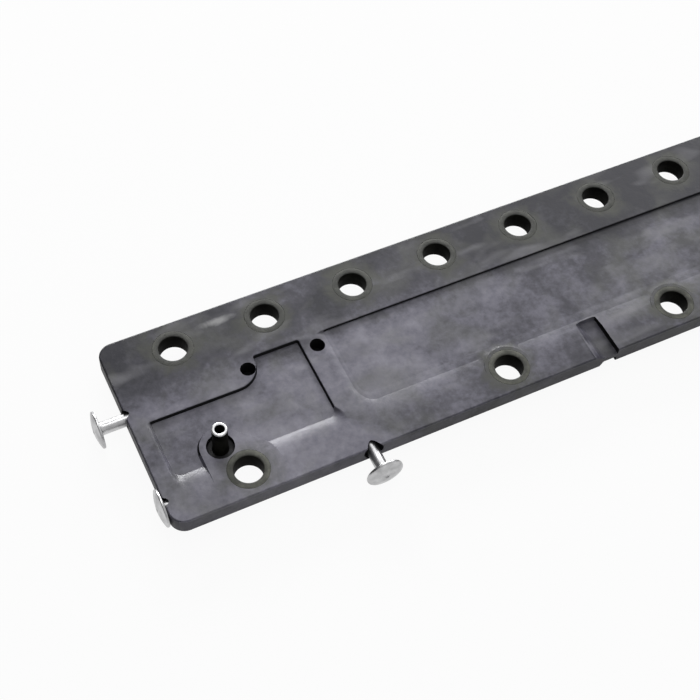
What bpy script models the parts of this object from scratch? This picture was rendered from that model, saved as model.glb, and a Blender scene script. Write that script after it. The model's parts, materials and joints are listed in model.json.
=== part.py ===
"""Shelf pin drilling jig.

A flat moulded plate carries two rows of pressed-in drill bushings. Stop pins with disc heads slide in
bores from its edges and hook over the edge of the panel that is drilled. An index pin is stored in a
hole of its own. The origin is the middle of the plate's underside, +X along the rows, +Y to the back.
"""

import math

import bmesh
import bpy
from mathutils import Matrix, Vector

MM = 0.001

# Rows of guide holes
PITCH = 32.0 * MM
BACK_HOLE_COUNT = 9
ROW_GAP = 50.3 * MM
OUTER_FRONT_INSET = 4.7 * MM
INNER_FRONT_PITCHES = 1

# Plate
END_MARGIN = 22.9 * MM
BACK_MARGIN = 10.0 * MM
FRONT_MARGIN = 8.9 * MM
THICKNESS = 6.5 * MM
CORNER_RADIUS = 5.0 * MM
EDGE_ROUND = 0.6 * MM

# Drill bushings
BUSHING_BORE = 9.3 * MM
BUSHING_WALL = 2.05 * MM
BUSHING_LEAD = 0.35 * MM
PRESS_CLEARANCE = 0.1 * MM
ROUND_SIDES = 32

# Stop pins
SHANK_DIAMETER = 4.2 * MM
SHANK_END_CHAMFER = 0.5 * MM
HEAD_DIAMETER = 12.2 * MM
HEAD_RIM = 0.8 * MM
HEAD_CROWN = 1.2 * MM
NECK_FLARE = 0.6 * MM
NECK_LENGTH = 1.8 * MM
DIMPLE_DIAMETER = 1.8 * MM
DIMPLE_DEPTH = 0.5 * MM
PIN_REACH = 41.7 * MM
CORNER_PIN_LENGTH = 16.5 * MM
END_PIN_OFFSET = 17.0 * MM
FRONT_PIN_INSET = 43.0 * MM
END_PIN_PULLED_OUT = 8.3 * MM
FRONT_PIN_PULLED_OUT = 7.3 * MM
SEAT_GAP = 0.3 * MM
PIN_SIDES = 24

# Side bores that the stop pins slide in, and their mouths
RUNNING_CLEARANCE = 0.08 * MM
NECK_CLEARANCE = 0.2 * MM
CORNER_BORE_SPARE = 1.5 * MM
PIN_END_HOLE_DIAMETER = 5.0 * MM
PIN_END_HOLE_FLOOR = 1.0 * MM
RELIEF_RAISE = 0.9 * MM
RELIEF_OVERLAP = 0.3 * MM
END_RELIEF_WIDTH = 3.4 * MM
END_RELIEF_DEPTH = 1.7 * MM
FRONT_RELIEF_WIDTH = 4.8 * MM
FRONT_RELIEF_DEPTH = 2.7 * MM

# Index pin and its storage hole
STORE_DIAMETER = 8.9 * MM
STORE_WALL = 0.55 * MM
STORE_FLOOR = 1.5 * MM
COLLAR_CLEARANCE = 0.08 * MM
COLLAR_HEIGHT = 3.2 * MM
DOWEL_DIAMETER = 5.0 * MM
DOWEL_RISE = 10.3 * MM
DOWEL_BORE = 3.0 * MM
DOWEL_BORE_DEPTH = 5.0 * MM
DOWEL_EDGE = 0.4 * MM

# Pockets in the top face
BACK_STRIP = 22.95 * MM
END_BORE_STRIP = 5.6 * MM
END_POCKET_DEPTH = 1.4 * MM
END_POCKET_RIM = 4.7 * MM
END_POCKET_RAMP = 2.2 * MM
END_POCKET_FRONT_RIM = 8.5 * MM
END_POCKET_FRONT_RAMP = 7.5 * MM
PIN_END_HOLE_WALL = 0.75 * MM
PIN_END_FILLET = 4.8 * MM
FILLET_LIMIT = 0.9
MIDDLE_POCKET_DEPTH = 1.0 * MM
MIDDLE_POCKET_RAMP = 5.0 * MM
MIDDLE_POCKET_FRONT_RIM = 8.7 * MM
MIDDLE_POCKET_FRONT_RAMP = 11.0 * MM
MIDDLE_KNEE = 0.3
MIDDLE_KNEE_DEPTH = 0.45
RAMP_STEPS = 4
RAMP_RISE = 0.04 * MM
RIB_OUTER_HALF = 4.9 * MM
RIB_INNER_HALF = 0.7 * MM
STEEP_RAMP = 0.12 * MM
POCKET_CORNER = 1.2 * MM
POCKET_FRONT_CORNER = 3.5 * MM
PIN_BOSS_WALL = 1.9 * MM
STORE_BOSS_WALL = 2.15 * MM
BUSHING_BOSS_WALL = 4.6 * MM

# Middle recess in the front edge, on both faces
RECESS_WIDTH = 5.0 * MM
RECESS_STEEP_SIDE = 4.5 * MM
RECESS_LENGTH = 14.7 * MM
RECESS_BACK_RAMP = 1.0 * MM
TOP_RECESS_DEPTH = 2.2 * MM
TOP_RECESS_RAMP = 4.5 * MM
UNDERSIDE_RECESS_DEPTH = 2.6 * MM
UNDERSIDE_RECESS_RAMP = 1.7 * MM

# Cutters run this far past the faces that they open
CUT_MARGIN = 1.0 * MM
ARC_STEPS = 6

ROW_LENGTH = PITCH * (BACK_HOLE_COUNT - 1)
END_X = ROW_LENGTH / 2 + END_MARGIN
BACK_Y = (BACK_MARGIN + ROW_GAP + FRONT_MARGIN) / 2
BACK_ROW_Y = BACK_Y - BACK_MARGIN
FRONT_ROW_Y = BACK_ROW_Y - ROW_GAP
BUSHING_RADIUS = BUSHING_BORE / 2 + BUSHING_WALL
PIN_Z = THICKNESS / 2
END_PIN_Y = BACK_ROW_Y - END_PIN_OFFSET
FRONT_PIN_X = ROW_LENGTH / 2 - FRONT_PIN_INSET
STORE_X = -ROW_LENGTH / 2
STORE_TO_FRONT_HOLE = STORE_DIAMETER / 2 + STORE_WALL + BUSHING_RADIUS + PRESS_CLEARANCE
STORE_Y = FRONT_ROW_Y + math.sqrt(STORE_TO_FRONT_HOLE**2 - OUTER_FRONT_INSET**2)
OUTER_FRONT_X = ROW_LENGTH / 2 - OUTER_FRONT_INSET
INNER_FRONT_X = INNER_FRONT_PITCHES * PITCH
BORE_RADIUS = SHANK_DIAMETER / 2 + RUNNING_CLEARANCE

LEFT = Vector((-1, 0, 0))
RIGHT = Vector((1, 0, 0))
FRONT = Vector((0, -1, 0))
UP = Vector((0, 0, 1))


def clear_scene():
    """Remove what the new file starts with."""
    for obj in list(bpy.data.objects):
        bpy.data.objects.remove(obj)


def collection(name):
    group = bpy.data.collections.new(name)
    bpy.context.scene.collection.children.link(group)
    return group


def material(name, colour, roughness, metallic):
    mat = bpy.data.materials.new(name)
    mat.use_nodes = True
    shader = mat.node_tree.nodes["Principled BSDF"]
    shader.inputs["Base Color"].default_value = (*colour, 1.0)
    shader.inputs["Roughness"].default_value = roughness
    shader.inputs["Metallic"].default_value = metallic
    return mat


def add_object(name, mesh, group, mat=None):
    obj = bpy.data.objects.new(name, mesh)
    group.objects.link(obj)
    if mat:
        mesh.materials.append(mat)
    return obj


def finish_mesh(bm, name):
    """Turn a bmesh into a mesh with its faces pointing out."""
    bm.normal_update()
    bmesh.ops.recalc_face_normals(bm, faces=bm.faces)
    mesh = bpy.data.meshes.new(name)
    bm.to_mesh(mesh)
    bm.free()
    return mesh


def facing(direction):
    """Rotation that turns +Z to the given direction."""
    return direction.to_track_quat("Z", "Y").to_matrix().to_4x4()


def as_cutter(obj):
    obj.hide_render = True
    obj.display_type = "WIRE"
    return obj


def add_cutter(name, mesh):
    return as_cutter(add_object(name, mesh, cutters))


def subtract(target, cutter):
    cut = target.modifiers.new(f"cut_{cutter.name}", "BOOLEAN")
    cut.operation = "DIFFERENCE"
    cut.solver = "EXACT"
    cut.object = cutter


def cone_cutter(name, start, direction, radii, length, sides):
    """Round cutter from a start point along a direction, with a radius at each end."""
    bm = bmesh.new()
    near, far = radii
    bmesh.ops.create_cone(bm, cap_ends=True, segments=sides, radius1=near, radius2=far, depth=length)
    bmesh.ops.translate(bm, verts=bm.verts, vec=(0, 0, length / 2))
    bm.transform(Matrix.Translation(start) @ facing(direction))
    return add_cutter(name, finish_mesh(bm, name))


def cylinder_cutter(name, radius, start, direction, length, sides):
    return cone_cutter(name, start, direction, (radius, radius), length, sides)


def loft(name, rings):
    """Closed mesh through rings with the same number of points, from the lowest to the highest."""
    bm = bmesh.new()
    levels = [[bm.verts.new(point) for point in ring] for ring in rings]
    bm.faces.new(levels[0])
    bm.faces.new(levels[-1])
    for lower, upper in zip(levels, levels[1:]):
        for i, corner in enumerate(lower):
            j = (i + 1) % len(lower)
            bm.faces.new((corner, lower[j], upper[j], upper[i]))
    bmesh.ops.triangulate(bm, faces=bm.faces)
    return finish_mesh(bm, name)


def square_outline(corners):
    """Points of an outline whose sides run along X or Y, listed counter-clockwise.

    Each corner is (x, y, radius, ramp), where the ramp is how far the side from this corner to the next
    one leans outward at the top. Every point comes with its own shift for that lean.
    """
    points = []
    for i, (x, y, radius, ramp) in enumerate(corners):
        before, after = corners[i - 1], corners[(i + 1) % len(corners)]
        corner = Vector((x, y))
        side_in = (corner - Vector(before[:2])).normalized()
        side_out = (Vector(after[:2]) - corner).normalized()
        normal_in = Vector((side_in.y, -side_in.x))
        normal_out = Vector((side_out.y, -side_out.x))
        bend = 1 if side_in.cross(side_out) > 0 else -1
        centre = corner - bend * radius * (normal_in + normal_out)
        steps = ARC_STEPS if radius else 0
        for step in range(steps + 1):
            turn = math.pi / 2 * step / ARC_STEPS
            share_in, share_out = math.cos(turn), math.sin(turn)
            if not radius:
                share_in = share_out = 1
            point = centre + bend * radius * (normal_in * share_in + normal_out * share_out)
            shift = normal_in * before[3] * share_in + normal_out * ramp * share_out
            points.append((point, shift))
    return points


def outline_at(outline, share, height):
    """The outline moved by a share of its lean, at a height."""
    return [(*(point + shift * share), height) for point, shift in outline]


def pocket_cutter(name, corners, depth):
    """Cutter for a pocket in the top face, with straight sides that lean by their own ramps."""
    floor = THICKNESS - depth
    top = THICKNESS + CUT_MARGIN
    outline = square_outline(corners)
    rings = [outline_at(outline, 0, floor), outline_at(outline, (top - floor) / depth, top)]
    return add_cutter(name, loft(name, rings))


def crowned_pocket_cutter(name, corners, depth, knee=0.0, knee_depth=1.0):
    """Cutter for a pocket whose sides are straight up to the knee and then round over to the top face.

    The knee is a share of each side's ramp, and its depth is a share of the pocket's depth.
    """
    levels = [(0, 1)] if knee else []
    for step in range(RAMP_STEPS + 1):
        climb = step / RAMP_STEPS
        levels.append((knee + (1 - knee) * climb, knee_depth * (1 - climb) ** 2))
    (share, left), (rim, _) = levels[-2:]
    beyond = rim + (rim - share) * RAMP_RISE / (left * depth)
    outline = square_outline(corners)
    rings = [outline_at(outline, share, THICKNESS - left * depth) for share, left in levels[:-1]]
    rings.append(outline_at(outline, beyond, THICKNESS + RAMP_RISE))
    rings.append(outline_at(outline, beyond, THICKNESS + CUT_MARGIN))
    return add_cutter(name, loft(name, rings))


def guard(name, outline):
    """Upright column that keeps a boss at full height inside a pocket."""
    low = [(x, y, 0) for x, y in outline]
    high = [(x, y, THICKNESS + 2 * CUT_MARGIN) for x, y in outline]
    return add_cutter(name, loft(name, [low, high]))


def circle_outline(x, y, radius):
    turns = [math.tau * i / ROUND_SIDES for i in range(ROUND_SIDES)]
    return [(x + radius * math.cos(turn), y + radius * math.sin(turn)) for turn in turns]


def two_circle_outline(first, first_radius, second, second_radius):
    """Outline round two circles, joined by their outer tangents."""
    span = Vector(second) - Vector(first)
    heading = math.atan2(span.y, span.x)
    opening = math.acos((first_radius - second_radius) / span.length)
    points = []
    for centre, radius, start, sweep in (
        (first, first_radius, heading + opening, math.tau - 2 * opening),
        (second, second_radius, heading - opening, 2 * opening),
    ):
        for step in range(2 * ARC_STEPS + 1):
            turn = start + sweep * step / (2 * ARC_STEPS)
            points.append((centre[0] + radius * math.cos(turn), centre[1] + radius * math.sin(turn)))
    return points


def turned(name, profile, sides, group, mat=None):
    """Solid turned about its own Z axis from a profile of (radius, z) points."""
    mesh = bpy.data.meshes.new(name)
    loop = profile[0][0] > 0
    edges = [(i, i + 1) for i in range(len(profile) - 1)]
    if loop:
        edges.append((len(profile) - 1, 0))
    mesh.from_pydata([(radius, 0, z) for radius, z in profile], edges, [])
    obj = add_object(name, mesh, group, mat)
    screw = obj.modifiers.new("turn", "SCREW")
    screw.axis = "Z"
    screw.steps = sides
    screw.render_steps = sides
    screw.use_merge_vertices = True
    screw.merge_threshold = 0.00001
    screw.use_smooth_shade = True
    return obj


def rounded_slab(name):
    """Plain plate with round corners and a small round on both rims."""
    bm = bmesh.new()
    bmesh.ops.create_cube(bm, size=1)
    bmesh.ops.scale(bm, verts=bm.verts, vec=(2 * END_X, 2 * BACK_Y, THICKNESS))
    bmesh.ops.translate(bm, verts=bm.verts, vec=(0, 0, THICKNESS / 2))
    upright = [edge for edge in bm.edges if abs(edge.verts[0].co.z - edge.verts[1].co.z) > THICKNESS / 2]
    bmesh.ops.bevel(
        bm, geom=upright, offset=CORNER_RADIUS, segments=ARC_STEPS, profile=0.5, affect="EDGES"
    )
    rims = [edge for edge in bm.edges if abs(edge.verts[0].co.z - edge.verts[1].co.z) < THICKNESS / 2]
    bmesh.ops.bevel(bm, geom=rims, offset=EDGE_ROUND, segments=2, profile=0.5, affect="EDGES")
    return finish_mesh(bm, name)


def guide_holes():
    """Names and places of all guide holes."""
    holes = [
        (f"back_bushing_{i + 1}", (i * PITCH - ROW_LENGTH / 2, BACK_ROW_Y)) for i in range(BACK_HOLE_COUNT)
    ]
    front = (-OUTER_FRONT_X, -INNER_FRONT_X, INNER_FRONT_X, OUTER_FRONT_X)
    holes += [(f"front_bushing_{i + 1}", (x, FRONT_ROW_Y)) for i, x in enumerate(front)]
    return holes


def stop_pins():
    """Name, bore mouth, outward direction, shank length and pulled-out distance of each stop pin."""
    return [
        ("left_end_stop_pin", (-END_X, END_PIN_Y), LEFT, PIN_REACH, END_PIN_PULLED_OUT),
        ("left_corner_stop_pin", (-END_X, FRONT_ROW_Y), LEFT, CORNER_PIN_LENGTH, SEAT_GAP),
        ("left_front_stop_pin", (-FRONT_PIN_X, -BACK_Y), FRONT, PIN_REACH, FRONT_PIN_PULLED_OUT),
        ("right_front_stop_pin", (FRONT_PIN_X, -BACK_Y), FRONT, PIN_REACH, SEAT_GAP),
        ("right_corner_stop_pin", (END_X, FRONT_ROW_Y), RIGHT, CORNER_PIN_LENGTH, SEAT_GAP),
        ("right_end_stop_pin", (END_X, END_PIN_Y), RIGHT, PIN_REACH, SEAT_GAP),
    ]


def cut_guide_holes(plate):
    seat_radius = BUSHING_RADIUS + PRESS_CLEARANCE
    for name, (x, y) in guide_holes():
        start = Vector((x, y, -CUT_MARGIN))
        length = THICKNESS + 2 * CUT_MARGIN
        subtract(plate, cylinder_cutter(f"seat_{name}", seat_radius, start, UP, length, ROUND_SIDES))


def cut_store(plate):
    start = Vector((STORE_X, STORE_Y, STORE_FLOOR))
    depth = THICKNESS - STORE_FLOOR + CUT_MARGIN
    subtract(plate, cylinder_cutter("index_store", STORE_DIAMETER / 2, start, UP, depth, ROUND_SIDES))


def bore_cutter(name, edge, outward, depth):
    """Pin bore with a lead-in at its mouth that clears the pin's neck."""
    widest = BORE_RADIUS + NECK_FLARE + NECK_CLEARANCE
    slope = (widest - BORE_RADIUS) / NECK_LENGTH
    profile = [
        (0, CUT_MARGIN),
        (widest + slope * CUT_MARGIN, CUT_MARGIN),
        (BORE_RADIUS, -NECK_LENGTH),
        (BORE_RADIUS, -depth),
        (0, -depth),
    ]
    bore = turned(name, profile, PIN_SIDES, cutters)
    bore.matrix_world = Matrix.Translation(edge) @ facing(outward)
    return as_cutter(bore)


def relief_cutter(name, edge, outward):
    """Raised cone that opens a bore's mouth through the top face and leaves the underside whole."""
    width, depth = END_RELIEF_WIDTH, END_RELIEF_DEPTH
    if outward == FRONT:
        width, depth = FRONT_RELIEF_WIDTH, FRONT_RELIEF_DEPTH
    below_top = THICKNESS - PIN_Z - RELIEF_RAISE
    widest = math.hypot(below_top, width / 2)
    slope = (widest - below_top) / depth
    narrowest = BORE_RADIUS - RELIEF_RAISE - RELIEF_OVERLAP
    length = (widest - narrowest) / slope
    start = edge + outward * CUT_MARGIN + UP * RELIEF_RAISE
    radii = (widest + slope * CUT_MARGIN, narrowest)
    return cone_cutter(name, start, -outward, radii, length + CUT_MARGIN, PIN_SIDES)


def cut_pin_bores(plate):
    """Side bore, mouth and, on the long pins, the blind hole at the bore's inner end."""
    for name, mouth, outward, shank, _ in stop_pins():
        edge = Vector((*mouth, PIN_Z))
        long_pin = shank == PIN_REACH
        depth = PIN_REACH if long_pin else shank + CORNER_BORE_SPARE
        subtract(plate, bore_cutter(f"bore_{name}", edge, outward, depth))
        subtract(plate, relief_cutter(f"relief_{name}", edge, outward))
        if long_pin:
            inner_end = edge - outward * PIN_REACH
            start = Vector((inner_end.x, inner_end.y, PIN_END_HOLE_FLOOR))
            height = THICKNESS - PIN_END_HOLE_FLOOR + CUT_MARGIN
            hole_radius = PIN_END_HOLE_DIAMETER / 2
            subtract(plate, cylinder_cutter(f"end_{name}", hole_radius, start, UP, height, PIN_SIDES))


def end_pocket_corners():
    """Outline of the left end pocket at its floor, counter-clockwise."""
    left = -END_X + END_POCKET_RIM + END_POCKET_RAMP
    right = -FRONT_PIN_X - RIB_OUTER_HALF
    step = -END_X + PIN_REACH + PIN_END_HOLE_DIAMETER / 2 + PIN_END_HOLE_WALL
    back = BACK_Y - BACK_STRIP
    wide_back = END_PIN_Y - END_BORE_STRIP
    fillet = min(PIN_END_FILLET, FILLET_LIMIT * (back - wide_back))
    front = -BACK_Y + END_POCKET_FRONT_RIM + END_POCKET_FRONT_RAMP
    return [
        (left, front, POCKET_CORNER, END_POCKET_FRONT_RAMP),
        (right, front, POCKET_CORNER, STEEP_RAMP),
        (right, back, 0, STEEP_RAMP),
        (step, back, 0, STEEP_RAMP),
        (step, wide_back, fillet, STEEP_RAMP),
        (left, wide_back, 0, END_POCKET_RAMP),
    ]


def middle_pocket_corners():
    """Outline of the long middle pocket at its floor, counter-clockwise."""
    right = FRONT_PIN_X - RIB_INNER_HALF - MIDDLE_POCKET_RAMP
    back = BACK_Y - BACK_STRIP
    front = -BACK_Y + MIDDLE_POCKET_FRONT_RIM + MIDDLE_POCKET_FRONT_RAMP
    return [
        (-right, front, POCKET_FRONT_CORNER, MIDDLE_POCKET_FRONT_RAMP),
        (right, front, POCKET_FRONT_CORNER, MIDDLE_POCKET_RAMP),
        (right, back, 0, STEEP_RAMP),
        (-right, back, 0, MIDDLE_POCKET_RAMP),
    ]


def mirrored(name, cutter):
    """The same cutter for the right end."""
    mesh = cutter.data.copy()
    mesh.transform(Matrix.Scale(-1, 4, RIGHT))
    mesh.flip_normals()
    return add_cutter(name, mesh)


def cut_pockets(plate):
    boss_radius = BUSHING_RADIUS + BUSHING_BOSS_WALL
    pin_boss_radius = PIN_END_HOLE_DIAMETER / 2 + PIN_BOSS_WALL
    store_boss_radius = STORE_DIAMETER / 2 + STORE_BOSS_WALL
    store_land = two_circle_outline(
        (STORE_X, STORE_Y), store_boss_radius, (-OUTER_FRONT_X, FRONT_ROW_Y), boss_radius
    )
    left = crowned_pocket_cutter("left_pocket", end_pocket_corners(), END_POCKET_DEPTH)
    right = mirrored("right_pocket", left)
    middle = crowned_pocket_cutter(
        "middle_pocket", middle_pocket_corners(), MIDDLE_POCKET_DEPTH, MIDDLE_KNEE, MIDDLE_KNEE_DEPTH
    )
    subtract(left, guard("store_land", store_land))
    subtract(right, guard("right_front_boss", circle_outline(OUTER_FRONT_X, FRONT_ROW_Y, boss_radius)))
    for side in (-1, 1):
        word = "left" if side < 0 else "right"
        bushing_boss = circle_outline(side * INNER_FRONT_X, FRONT_ROW_Y, boss_radius)
        pin_boss = circle_outline(side * FRONT_PIN_X, -BACK_Y + PIN_REACH, pin_boss_radius)
        subtract(middle, guard(f"{word}_inner_boss", bushing_boss))
        subtract(middle, guard(f"{word}_pin_boss", pin_boss))
    for pocket in (left, middle, right):
        subtract(plate, pocket)


def recess_cutter(name, depth, ramp):
    """Cutter for the open-fronted recess in the middle of the front edge, in the top face."""
    right = RECESS_STEEP_SIDE
    left = right - RECESS_WIDTH
    front = -BACK_Y - CUT_MARGIN
    back = -BACK_Y + RECESS_LENGTH
    corners = [
        (left, front, 0, 0),
        (right, front, 0, STEEP_RAMP),
        (right, back, 0, RECESS_BACK_RAMP),
        (left, back, 0, ramp),
    ]
    return pocket_cutter(name, corners, depth)


def cut_recess(plate):
    """Middle recess, in the top face and the underside, with a web between them."""
    subtract(plate, recess_cutter("top_recess", TOP_RECESS_DEPTH, TOP_RECESS_RAMP))
    underside = recess_cutter("underside_recess", UNDERSIDE_RECESS_DEPTH, UNDERSIDE_RECESS_RAMP)
    underside.data.transform(Matrix.Translation((0, 0, THICKNESS)) @ Matrix.Scale(-1, 4, UP))
    underside.data.flip_normals()
    subtract(plate, underside)


def build_plate():
    plate = add_object("jig_plate", rounded_slab("jig_plate"), jig, moulding)
    cut_pockets(plate)
    cut_recess(plate)
    cut_guide_holes(plate)
    cut_store(plate)
    cut_pin_bores(plate)


def build_bushings():
    """Flush steel rings with a lead-in at both ends of the bore."""
    bore = BUSHING_BORE / 2
    lead = bore + BUSHING_LEAD
    profile = [
        (BUSHING_RADIUS, THICKNESS),
        (BUSHING_RADIUS, 0),
        (lead, 0),
        (bore, BUSHING_LEAD),
        (bore, THICKNESS - BUSHING_LEAD),
        (lead, THICKNESS),
    ]
    for name, (x, y) in guide_holes():
        ring = turned(name, profile, ROUND_SIDES, jig, black_steel)
        ring.location = (x, y, 0)


def pin_profile(shank):
    """Stop pin from its crown down to the end of its shank, with z = 0 at the head's inner face."""
    head, body, dimple = HEAD_DIAMETER / 2, SHANK_DIAMETER / 2, DIMPLE_DIAMETER / 2
    crown_radius = (head**2 + HEAD_CROWN**2) / (2 * HEAD_CROWN)
    crown_centre = HEAD_RIM + HEAD_CROWN - crown_radius
    crown_steps = 4
    points = []
    for step in range(crown_steps + 1):
        radius = dimple + (head - dimple) * step / crown_steps
        points.append((radius, crown_centre + math.sqrt(crown_radius**2 - radius**2)))
    points.insert(0, (0, points[0][1] - DIMPLE_DEPTH))
    points += [(head, 0), (body + NECK_FLARE, 0)]
    points.append((body + NECK_FLARE / 4, -NECK_LENGTH / 2))
    points += [(body, -NECK_LENGTH), (body, -shank + SHANK_END_CHAMFER)]
    points += [(body - SHANK_END_CHAMFER, -shank), (0, -shank)]
    return points


def build_stop_pins():
    for name, mouth, outward, shank, pulled_out in stop_pins():
        pin = turned(name, pin_profile(shank), PIN_SIDES, jig, bright_steel)
        seat = Vector((*mouth, PIN_Z)) + outward * pulled_out
        pin.matrix_world = Matrix.Translation(seat) @ facing(outward)


def build_index_pin():
    """Hollow-ended dowel in a collar that stands in the storage hole."""
    collar_base = STORE_FLOOR + SEAT_GAP
    outer = STORE_DIAMETER / 2 - COLLAR_CLEARANCE
    inner = DOWEL_DIAMETER / 2 + PRESS_CLEARANCE
    collar_profile = [
        (outer, COLLAR_HEIGHT - DOWEL_EDGE),
        (outer, 0),
        (inner, 0),
        (inner, COLLAR_HEIGHT),
        (outer - DOWEL_EDGE, COLLAR_HEIGHT),
    ]
    collar = turned("index_pin_collar", collar_profile, ROUND_SIDES, jig, black_plastic)
    collar.location = (STORE_X, STORE_Y, collar_base)

    length = THICKNESS + DOWEL_RISE - collar_base
    body, bore = DOWEL_DIAMETER / 2, DOWEL_BORE / 2
    dowel_profile = [
        (0, length - DOWEL_BORE_DEPTH),
        (bore, length - DOWEL_BORE_DEPTH),
        (bore, length),
        (body - DOWEL_EDGE, length),
        (body, length - DOWEL_EDGE),
        (body, 0),
        (0, 0),
    ]
    dowel = turned("index_pin_dowel", dowel_profile, PIN_SIDES, jig, bright_steel)
    dowel.location = (STORE_X, STORE_Y, collar_base)


clear_scene()
jig = collection("shelf_pin_drilling_jig")
cutters = collection("cutters")
moulding = material("slate_grey_moulding", (0.115, 0.117, 0.125), 0.45, 0.0)
black_steel = material("blackened_steel", (0.12, 0.12, 0.10), 0.38, 0.8)
bright_steel = material("bright_steel", (0.78, 0.78, 0.80), 0.22, 1.0)
black_plastic = material("black_nylon", (0.02, 0.02, 0.022), 0.5, 0.0)
build_plate()
build_bushings()
build_stop_pins()
build_index_pin()
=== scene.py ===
# %% [markdown]
# # A shelf pin drilling jig, piece by piece
#
# The jig is a flat moulded plate with steel drill bushings in two rows, six stop pins that slide in its
# edges, and an index pin that is stored in a hole of its own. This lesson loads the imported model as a
# fixed frame, makes finer pieces over it with numpy, gives every piece its finish, and sets the camera
# and the light. Shapes are worked out in millimetres, which turn into metres when a mesh is made.

# %% Load the frame
import json
import math

import bpy
import numpy as np
from mathutils import Matrix, Vector


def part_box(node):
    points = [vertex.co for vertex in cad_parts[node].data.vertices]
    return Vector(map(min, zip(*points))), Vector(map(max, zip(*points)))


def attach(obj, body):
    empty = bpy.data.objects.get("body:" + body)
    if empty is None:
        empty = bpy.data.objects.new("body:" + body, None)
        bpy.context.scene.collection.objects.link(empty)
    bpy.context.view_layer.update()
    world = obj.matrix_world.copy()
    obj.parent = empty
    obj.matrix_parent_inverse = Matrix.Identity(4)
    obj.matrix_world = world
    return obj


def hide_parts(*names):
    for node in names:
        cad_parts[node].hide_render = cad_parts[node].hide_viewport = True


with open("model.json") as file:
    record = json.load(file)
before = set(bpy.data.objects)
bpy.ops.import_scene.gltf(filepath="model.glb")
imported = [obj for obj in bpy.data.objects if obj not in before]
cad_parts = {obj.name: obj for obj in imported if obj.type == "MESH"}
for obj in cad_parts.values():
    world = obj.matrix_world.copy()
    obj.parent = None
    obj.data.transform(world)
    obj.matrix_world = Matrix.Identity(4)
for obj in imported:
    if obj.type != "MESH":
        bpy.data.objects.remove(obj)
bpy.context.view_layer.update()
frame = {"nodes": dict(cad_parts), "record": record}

MM = 0.001

# %% [markdown]
# ## Where things are
#
# The frame knows where each piece sits. A node's box gives its middle and its size, so the finer pieces
# are placed by the frame and not by numbers that are written twice.


# %% Read sizes from the frame
def box_mm(node):
    """Lowest and highest corner of a node in the frame, in millimetres."""
    low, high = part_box(node)
    return np.array(low) / MM, np.array(high) / MM


def middle_mm(node):
    low, high = box_mm(node)
    return (low + high) / 2


BODY_OF = {node: body for body, nodes in frame["record"]["behaviour"]["bodies"].items() for node in nodes}
plate_low, plate_high = box_mm("jig_plate")
END_X, BACK_Y, THICKNESS = plate_high
BUSHINGS = sorted(node for node in frame["nodes"] if "bushing" in node)
STOP_PINS = sorted(node for node in frame["nodes"] if "stop_pin" in node)
print("plate", np.round(plate_high - plate_low, 2), "mm;", len(BUSHINGS), "bushings;", len(STOP_PINS), "pins")

# %% [markdown]
# ## Surfaces from whole arrays
#
# Nearly every piece here is an outline that is carried along a profile: a pin is a circle carried along
# its outline from the crown to the tip, the plate is a rounded rectangle carried up its edge. The points
# of such a surface are one sum of arrays, point = path + offset x normal + share x lean, so no loop over
# vertices is needed. Corners are rounded by arcs that are worked out the same way.


# %% Helpers for paths and profiles
def unit(vectors):
    return vectors / np.linalg.norm(vectors, axis=-1, keepdims=True)


def bend(start, control, end, steps=4):
    """Points of a quadratic Bezier curve, (1-t)^2 start + 2t(1-t) control + t^2 end."""
    t = np.linspace(0, 1, steps + 1)[:, None]
    start, control, end = (np.array(point, float) for point in (start, control, end))
    return (1 - t) ** 2 * start + 2 * t * (1 - t) * control + t**2 * end


def rounded_profile(points, radii, steps=3):
    """Open profile whose inner corners are arcs of the given radii.

    A corner that turns by an angle w is left at a distance r tan(w/2) on both sides, and the arc between
    is the conic with the corner as its control point and the weight cos(w/2), which is a true circle.
    """
    points = np.array(points, float)
    before = unit(points[1:-1] - points[:-2])
    after = unit(points[2:] - points[1:-1])
    turn = np.arccos(np.clip((before * after).sum(1), -1, 1))[:, None]
    reach = np.array(radii, float)[:, None] * np.tan(turn / 2)
    first, last = points[1:-1] - before * reach, points[1:-1] + after * reach
    t = np.linspace(0, 1, steps + 1)[None, :, None]
    weight = np.cos(turn / 2)[:, None]
    parts = (1 - t) ** 2, 2 * weight * t * (1 - t), t**2
    arcs = parts[0] * first[:, None] + parts[1] * points[1:-1][:, None] + parts[2] * last[:, None]
    arcs = arcs / sum(parts)
    return np.vstack([points[:1], arcs.reshape(-1, 2), points[-1:]])


def circle_path(x=0.0, y=0.0, radius=0.0, sides=72):
    """Points and outward normals of a circle, counter-clockwise."""
    turn = np.arange(sides) * math.tau / sides
    normals = np.stack([np.cos(turn), np.sin(turn)], 1)
    return np.array([x, y]) + radius * normals, normals, np.zeros_like(normals)


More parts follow.
